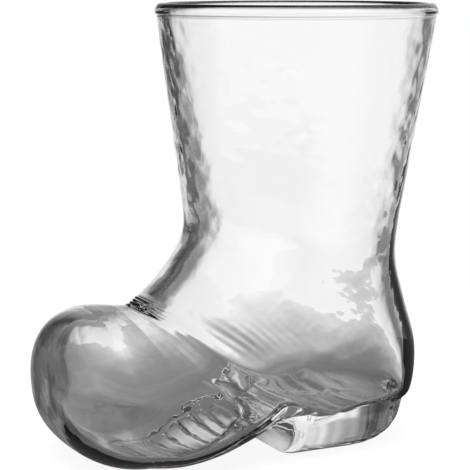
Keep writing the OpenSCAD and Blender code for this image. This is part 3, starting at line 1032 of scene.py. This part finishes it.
def make_piece(context, name, region):
    """Takes one region out of the blown glass as a closed piece; where it runs on into its neighbours,
    it is closed by faces that the eye doesn't see."""
    shape = context.scene.boot_shape
    finish = context.scene.boot_finish
    sizes = [(key, getattr(shape, key)) for key in BootShape.__annotations__]
    sizes += [(key, getattr(finish, key)) for key in BlownFinish.__annotations__ if key != "glass"]
    sizes.append(("glass", tuple(finish.glass)))
    glass = blown_glass(tuple(sizes))
    chosen = np.flatnonzero(glass.regions == region)
    faces = [glass.faces[i] for i in chosen]
    if region == HEEL:
        joints = [f[::-1] for f in glass.patch]
    else:
        joints = [f for f, r in zip(glass.patch, glass.patch_regions) if r == region]
    loops = sorted(border_loops(faces + joints), key=lambda loop: glass.points[loop, 2].mean())
    for first, second in zip(loops[::2], loops[1::2]):
        joints += bridge(glass.points, first, second)
    every = faces + joints
    used, numbers = np.unique(np.concatenate(every), return_inverse=True)
    counts = [len(f) for f in every]
    corners = [list(f) for f in np.split(numbers, np.cumsum(counts)[:-1])]
    if len(loops) % 2 or border_loops(corners):
        raise RuntimeError(f"{name} isn't closed")
    mesh = bpy.data.meshes.new(name)
    mesh.from_pydata(glass.points[used].tolist(), [], corners)
    mesh.materials.append(glass_material(finish))
    mesh.materials.append(joint_material())
    seen = np.arange(len(every)) < len(faces)
    mesh.polygons.foreach_set("use_smooth", seen)
    mesh.polygons.foreach_set("material_index", (~seen).astype(int))
    flat = np.empty(3 * len(every))
    mesh.polygons.foreach_get("normal", flat)
    flat = flat.reshape(-1, 3)[len(faces) :]
    turned = [glass.normals[i] for i in chosen]
    turned += [np.tile(n, (len(f), 1)) for n, f in zip(flat, joints)]
    mesh.normals_split_custom_set(np.concatenate(turned).tolist())
    mesh.update()
    piece = bpy.data.objects.new(name, mesh)
    context.collection.objects.link(piece)
    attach(piece, "root")
    return piece


def cleared(owner):
    """Node tree of a material or a world, emptied."""
    owner.use_nodes = True
    owner.node_tree.nodes.clear()
    return owner.node_tree


def glass_material(finish):
    """Soda-lime glass, mould-blown and fire-polished: clear and bright, with a mirror-smooth skin that
    shows only by how it bends what stands behind it, chill waves a few millimetres long in that skin,
    and fine scuffs where it stands on the table."""
    name = "Soda-lime glass, mould-blown"
    if name in bpy.data.materials:
        return bpy.data.materials[name]
    material = bpy.data.materials.new(name)
    tree = cleared(material)
    spot = add(tree, "ShaderNodeTexCoord").outputs["Object"]
    # Scuffs 0.4 mm apart, only on the lowest 0.2 mm of the glass; chill waves about 4 mm long
    grit, chill = [
        add(tree, "ShaderNodeTexNoise", {"Vector": spot, "Scale": 1 / size, "Detail": detail}).outputs[0]
        for size, detail in ((SCUFF_SIZE, 3.0), (WAVE_SIZE, 1.0))
    ]
    height = add(tree, "ShaderNodeSeparateXYZ", {0: spot}).outputs["Z"]
    worn = add(
        tree,
        "ShaderNodeMapRange",
        {
            "Value": height,
            "From Min": SCUFF_FULL,
            "From Max": SCUFF_NONE,
            "To Min": SCUFF_ROUGH,
            "To Max": 0.0,
        },
    ).outputs[0]
    scuffs = add(tree, "ShaderNodeMath", {0: grit, 1: worn}, operation="MULTIPLY").outputs[0]
    waves = add(
        tree,
        "ShaderNodeBump",
        {"Height": chill, "Strength": WAVE_STRENGTH, "Distance": WAVE_DEPTH},
    ).outputs[0]
    glass = add(
        tree,
        "ShaderNodeBsdfPrincipled",
        {
            "Base Color": (*finish.glass, 1),
            "Roughness": scuffs,
            "Normal": waves,
            "IOR": GLASS_IOR,
            "Transmission Weight": 1.0,
        },
    )
    let_by = (SHADOW_LIGHT, SHADOW_LIGHT, SHADOW_LIGHT, 1)
    clear = add(tree, "ShaderNodeBsdfTransparent", {"Color": let_by})
    path = add(tree, "ShaderNodeLightPath").outputs
    mixed = add(
        tree,
        "ShaderNodeMixShader",
        {0: path["Is Shadow Ray"], 1: glass.outputs[0], 2: clear.outputs[0]},
    )
    add(tree, "ShaderNodeOutputMaterial", {"Surface": mixed.outputs[0]})
    return material


def joint_material():
    """Fused glass, where one piece runs on into the next: nothing shows there, so it lets all light
    by."""
    name = "Soda-lime glass, fused joint"
    if name in bpy.data.materials:
        return bpy.data.materials[name]
    material = bpy.data.materials.new(name)
    tree = cleared(material)
    clear = add(tree, "ShaderNodeBsdfPrincipled", {"IOR": GLASS_IOR, "Roughness": 0.0, "Alpha": 0.0})
    add(tree, "ShaderNodeOutputMaterial", {"Surface": clear.outputs[0]})
    return material


class BOOT_OT_lip(bpy.types.Operator):
    """Turn the fire-polished lip round the mouth"""

    bl_idname = "boot.lip"
    bl_label = "Make the lip"

    def execute(self, context):
        piece = make_piece(context, "lip_bead", LIP)
        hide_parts("lip")
        return {"FINISHED"}


class BOOT_OT_leg(bpy.types.Operator):
    """Blow the tapered, hammered leg between the lip and the ankle"""

    bl_idname = "boot.leg"
    bl_label = "Blow the leg"

    def execute(self, context):
        piece = make_piece(context, "leg_wall", LEG)
        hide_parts("leg")
        return {"FINISHED"}


class BOOT_OT_foot(bpy.types.Operator):
    """Blow the instep, the heel cup and the toe"""

    bl_idname = "boot.foot"
    bl_label = "Blow the foot"

    def execute(self, context):
        piece = make_piece(context, "foot_wall", FOOT)
        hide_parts("foot")
        return {"FINISHED"}


class BOOT_OT_sole(bpy.types.Operator):
    """Press the glass floor with its tread underneath"""

    bl_idname = "boot.sole"
    bl_label = "Press the sole"

    def execute(self, context):
        piece = make_piece(context, "sole_floor", SOLE)
        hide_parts("sole")
        return {"FINISHED"}


class BOOT_OT_heel(bpy.types.Operator):
    """Melt the solid block under the heel"""

    bl_idname = "boot.heel"
    bl_label = "Melt the heel on"

    def execute(self, context):
        piece = make_piece(context, "heel_glass", HEEL)
        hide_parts("heel")
        return {"FINISHED"}


# Camera: degrees that it stands round from straight in front, towards the toe, its lens and sensor in
# millimetres, the point that it stands round, its distance from there and height above it in metres,
# and how far that point lies to the right of the middle of the picture and above it
CAMERA_TURN = -26
CAMERA_LENS = 124.2
CAMERA_SENSOR = 36
CAMERA_POINT = (0.00045, 0, 0.061)
CAMERA_AWAY = 0.45
CAMERA_RISE = 0.072
CAMERA_RIGHT = 0.00084
CAMERA_UP = 0.00056
# Softbox: its width and place in metres, and its power in watts
SOFTBOX_SIZE = 0.9
SOFTBOX_AT = (-0.25, -0.15, 1.0)
SOFTBOX_POWER = 16
# Table top: its radius and how far it lies under the glass, in metres, the sides that make it round,
# and the share of the lit board in what the eye sees of it, beside plain white
TABLE_RADIUS = 0.25
TABLE_DROP = 0.0002
TABLE_SIDES = 96
TABLE_BOARD = 0.25
# Lightness of the studio round the glass, by degrees to the right of the camera's line:
# below the table's edge, at the height of the glass, above it and overhead
BELOW = (
    (-180, 0.9), (-112, 0.9), (-98, 0.2), (-80, 0.1), (-50, 0.15), (-34, 0.1), (-28, 0.12), (-22, 0.4),
    (-14, 1), (14, 1), (25, 0.75), (30, 0.4), (36, 0.4), (44, 0.7), (62, 0.9), (180, 0.9),
)
BESIDE = (
    (-180, 0.9), (-112, 0.9), (-98, 0.15), (-80, 0.05), (-60, 0.18), (-50, 0.2), (-42, 0.1),
    (-36, 0.06), (-30, 0.05), (-26, 0.1), (-21, 0.25), (-17, 0.6), (-13, 0.95), (14, 1), (20, 0.82),
    (26, 0.6), (31, 0.25), (38, 0.16), (48, 0.18), (55, 0.4), (62, 0.9), (180, 0.9),
)
ABOVE = (
    (-180, 0.5), (-112, 0.5), (-98, 0.15), (-80, 0.06), (-60, 0.16), (-42, 0.15), (-38, 0.12),
    (-34, 0.05), (-29, 0.06), (-26, 0.16), (-22, 0.25), (-16, 0.36), (-8, 0.5), (-3, 0.66), (2, 0.85),
    (30, 0.9), (45, 0.5), (62, 0.7), (180, 0.5),
)
OVERHEAD = (
    (-180, 0.4), (-110, 0.4), (-90, 0.15), (-34, 0.1), (-20, 0.22), (-2, 0.3), (8, 0.55), (16, 1),
    (75, 1), (110, 0.5), (180, 0.4),
)
# Heights, as the sine of the slope of the line of sight, between which each band gives way to the next
TO_ABOVE = (0.05, 0.14)
TO_OVERHEAD = (0.34, 0.43)
TO_BELOW = (-0.18, -0.27)
# Painted shadow on the table top as it shows through the glass: its lightness by metres away from under
# the heel, along ovals that are drawn out to the sides; and painted shade by metres to the side, darker
# towards the toe;
# the darker of the two holds
TABLE_HEEL = 0.04
REACH_SCALE = 4.0
TABLE_REACH = (
    (0, 0.03), (0.008, 0.05), (0.015, 0.11), (0.03, 0.15), (0.06, 0.18), (0.08, 0.22), (0.1, 0.3),
    (0.115, 0.4), (0.13, 0.48), (0.155, 0.62), (0.18, 0.74), (0.21, 0.86), (0.245, 1),
)
SIDE_SCALE = 2.0
TABLE_SIDE = (
    (-0.1, 0.15), (-0.08, 0.1), (-0.064, 0.08), (-0.058, 0.13), (-0.05, 0.24), (-0.035, 0.3),
    (-0.01, 0.42), (0.01, 0.55), (0.03, 0.72), (0.045, 0.9), (0.055, 1),
)
# Light that the toe gathers on the table under the tread: its middle, and its lightness by metres
# from there
GATHERED_AT = (-0.01, 0.005, 0.0)
GATHERED_SCALE = 20.0
GATHERED = ((0, 0.75), (0.006, 0.7), (0.011, 0.3), (0.015, 0))


class BOOT_OT_studio(bpy.types.Operator):
    """Set up the floor, the backdrop, the lamp and the camera"""

    bl_idname = "boot.studio"
    bl_label = "Set up the studio"

    def execute(self, context):
        look = context.scene.boot_studio
        context.scene.view_settings.view_transform = "Standard"
        self.world(context.scene, look)
        self.floor(context, look)
        self.lamp(context)
        self.camera(context)
        return {"FINISHED"}

    @staticmethod
    def world(scene, look):
        """White to the eye; through the glass, white panels all round with dark gaps between."""
        world = bpy.data.worlds.new("Studio")
        scene.world = world
        tree = cleared(world)
        way = add(tree, "ShaderNodeTexCoord").outputs["Generated"]
        height = add(tree, "ShaderNodeSeparateXYZ", {0: way}).outputs["Z"]
        a = math.radians(90 + CAMERA_TURN)
        ahead, aside = [
            add(tree, "ShaderNodeVectorMath", {0: way, 1: line}, operation="DOT_PRODUCT").outputs["Value"]
            for line in ((math.cos(a), math.sin(a), 0), (math.sin(a), -math.cos(a), 0))
        ]
        turn = add(tree, "ShaderNodeMath", {0: aside, 1: ahead}, operation="ARCTAN2").outputs[0]
        share = add(
            tree,
            "ShaderNodeMath",
            {0: turn, 1: 0.5 / math.pi, 2: 0.5},
            operation="MULTIPLY_ADD",
        ).outputs[0]
        low, level, high, top = [
            add(
                tree,
                "ShaderNodeValToRGB",
                {"Fac": share},
                [(0.5 + degrees / 360, light) for degrees, light in tones],
            ).outputs["Color"]
            for tones in (BELOW, BESIDE, ABOVE, OVERHEAD)
        ]
        tone = level
        for (start, end), band in ((TO_ABOVE, high), (TO_OVERHEAD, top), (TO_BELOW, low)):
            blend = add(
                tree,
                "ShaderNodeMapRange",
                {"Value": height, "From Min": start, "From Max": end},
                interpolation_type="SMOOTHSTEP",
            ).outputs[0]
            tone = add(
                tree,
                "ShaderNodeMix",
                {"Factor": blend, "A": tone, "B": band},
                data_type="RGBA",
            ).outputs["Result"]
        path = add(tree, "ShaderNodeLightPath").outputs
        through = add(tree, "ShaderNodeBackground", {"Color": tone, "Strength": 1.0})
        plain = add(tree, "ShaderNodeBackground", {"Color": (*look.white, 1), "Strength": 1.0})
        mixed = add(
            tree,
            "ShaderNodeMixShader",
            {0: path["Is Camera Ray"], 1: through.outputs[0], 2: plain.outputs[0]},
        )
        add(tree, "ShaderNodeOutputWorld", {"Surface": mixed.outputs[0]})

    @staticmethod
    def floor(context, look):
        """Round white table top that keeps a soft shadow, and through the glass glows with painted
        shadow, painted shade and a painted pool of light.
        """
        sheet = bmesh.new()
        bmesh.ops.create_circle(sheet, cap_ends=True, segments=TABLE_SIDES, radius=TABLE_RADIUS)
        mesh = bpy.data.meshes.new("floor")
        sheet.to_mesh(mesh)
        sheet.free()
        # Painted board: matt, white to the eye; where the glass bends the view of it, an emission with
        # painted tones instead
        material = bpy.data.materials.new("Painted board, matt white")
        tree = cleared(material)
        path = add(tree, "ShaderNodeLightPath").outputs
        white = add(tree, "ShaderNodeEmission", {"Color": (*look.white, 1), "Strength": 1.0}).outputs[0]
        board = add(tree, "ShaderNodeBsdfDiffuse", {"Color": (*look.board, 1)}).outputs[0]
        eye = add(tree, "ShaderNodeMixShader", {0: TABLE_BOARD, 1: white, 2: board}).outputs[0]
        spot = add(tree, "ShaderNodeTexCoord").outputs["Object"]
        drawn = add(
            tree,
            "ShaderNodeVectorMath",
            {0: spot, 1: (1.0, REACH_SCALE, 0.0), 2: (-TABLE_HEEL, 0.0, 0.0)},
            operation="MULTIPLY_ADD",
        ).outputs[0]
        far = add(tree, "ShaderNodeVectorMath", {0: drawn}, operation="LENGTH").outputs["Value"]
        across = add(tree, "ShaderNodeSeparateXYZ", {0: spot}).outputs["X"]
        side = add(
            tree,
            "ShaderNodeMath",
            {0: across, 1: SIDE_SCALE, 2: 0.5},
            operation="MULTIPLY_ADD",
        ).outputs[0]
        away = add(tree, "ShaderNodeVectorMath", {0: spot, 1: GATHERED_AT}, operation="DISTANCE")
        wide = add(
            tree,
            "ShaderNodeMath",
            {0: away.outputs["Value"], 1: GATHERED_SCALE},
            operation="MULTIPLY",
        ).outputs[0]
        # Painted shadow under the heel, painted shade towards the toe and a painted pool of light under
        # the tread
        painted_heel_shadow, painted_side_shade, glow = [
            add(
                tree,
                "ShaderNodeValToRGB",
                {"Fac": measure},
                [(zero + scale * metres, light) for metres, light in tones],
            ).outputs["Color"]
            for measure, zero, scale, tones in (
                (far, 0, REACH_SCALE, TABLE_REACH),
                (side, 0.5, SIDE_SCALE, TABLE_SIDE),
                (wide, 0, GATHERED_SCALE, GATHERED),
            )
        ]
        tone = painted_heel_shadow
        for layer, rule in ((painted_side_shade, "DARKEN"), (glow, "LIGHTEN")):
            tone = add(
                tree,
                "ShaderNodeMix",
                {"Factor": 1.0, "A": tone, "B": layer},
                data_type="RGBA",
                blend_type=rule,
            ).outputs["Result"]
        # The table glows with these painted tones for rays that the glass bends or mirrors; no lamp
        # lights them
        table = add(tree, "ShaderNodeEmission", {"Color": tone, "Strength": 1.0}).outputs[0]
        bent = add(
            tree,
            "ShaderNodeMath",
            {0: path["Is Transmission Ray"], 1: path["Is Glossy Ray"]},
            operation="MAXIMUM",
        ).outputs[0]
        lit_or_painted = add(tree, "ShaderNodeMixShader", {0: bent, 1: board, 2: table}).outputs[0]
        mixed = add(tree, "ShaderNodeMixShader", {0: path["Is Camera Ray"], 1: lit_or_painted, 2: eye}).outputs[0]
        add(tree, "ShaderNodeOutputMaterial", {"Surface": mixed})
        mesh.materials.append(material)
        floor = bpy.data.objects.new("floor", mesh)
        floor.location = (0, 0, -TABLE_DROP)
        context.collection.objects.link(floor)

    @staticmethod
    def lamp(context):
        """Softbox above the toe's side, for the shadow on the table."""
        lamp = bpy.data.lights.new("Overhead softbox", "AREA")
        lamp.shape = "DISK"
        lamp.size = SOFTBOX_SIZE
        lamp.energy = SOFTBOX_POWER
        overhead = bpy.data.objects.new("Overhead softbox", lamp)
        overhead.location = SOFTBOX_AT
        overhead.rotation_mode = "QUATERNION"
        overhead.rotation_quaternion = overhead.location.to_track_quat("Z", "Y")
        overhead.visible_glossy = False
        overhead.visible_transmission = False
        context.collection.objects.link(overhead)

    @staticmethod
    def camera(context):
        """Camera a little above the mouth, in front and to the toe's side."""
        data = bpy.data.cameras.new("Camera")
        data.sensor_width = CAMERA_SENSOR
        data.lens = CAMERA_LENS
        camera = bpy.data.objects.new("Camera", data)
        point = Vector(CAMERA_POINT)
        a = math.radians(CAMERA_TURN)
        back = Vector((math.sin(a) * CAMERA_AWAY, -math.cos(a) * CAMERA_AWAY, CAMERA_RISE))
        camera.location = point + back
        side = Vector((math.cos(a), math.sin(a), 0))
        look = point - side * CAMERA_RIGHT - Vector((0, 0, CAMERA_UP)) - camera.location
        camera.rotation_mode = "QUATERNION"
        camera.rotation_quaternion = look.to_track_quat("-Z", "Y")
        context.collection.objects.link(camera)
        context.scene.camera = camera


class BOOT_PT_panel(bpy.types.Panel):
    """Sizes, finish and studio of the boot glass"""

    bl_label = "Boot glass"
    bl_idname = "BOOT_PT_panel"
    bl_space_type = "VIEW_3D"
    bl_region_type = "UI"
    bl_category = "Boot glass"

    def draw(self, context):
        scene = context.scene
        for group in (scene.boot_shape, scene.boot_finish, scene.boot_studio):
            box = self.layout.box()
            for name in group.__annotations__:
                box.prop(group, name)
        for operator in OPERATORS:
            self.layout.operator(operator.bl_idname)


OPERATORS = (BOOT_OT_lip, BOOT_OT_leg, BOOT_OT_foot, BOOT_OT_sole, BOOT_OT_heel, BOOT_OT_studio)
CLASSES = (BootShape, BlownFinish, StudioLook, *OPERATORS, BOOT_PT_panel)


def register():
    """Registers the classes and hangs the sizes on the scene."""
    for item in CLASSES:
        bpy.utils.register_class(item)
    bpy.types.Scene.boot_shape = PointerProperty(type=BootShape)
    bpy.types.Scene.boot_finish = PointerProperty(type=BlownFinish)
    bpy.types.Scene.boot_studio = PointerProperty(type=StudioLook)


def unregister():
    """Takes back what register did."""
    del bpy.types.Scene.boot_shape
    del bpy.types.Scene.boot_finish
    del bpy.types.Scene.boot_studio
    for item in reversed(CLASSES):
        bpy.utils.unregister_class(item)


def main():
    """Builds the glass and its studio."""
    register()
    bpy.ops.boot.lip()
    bpy.ops.boot.leg()
    bpy.ops.boot.foot()
    bpy.ops.boot.sole()
    bpy.ops.boot.heel()
    bpy.ops.boot.studio()


if __name__ == "__main__":
    main()
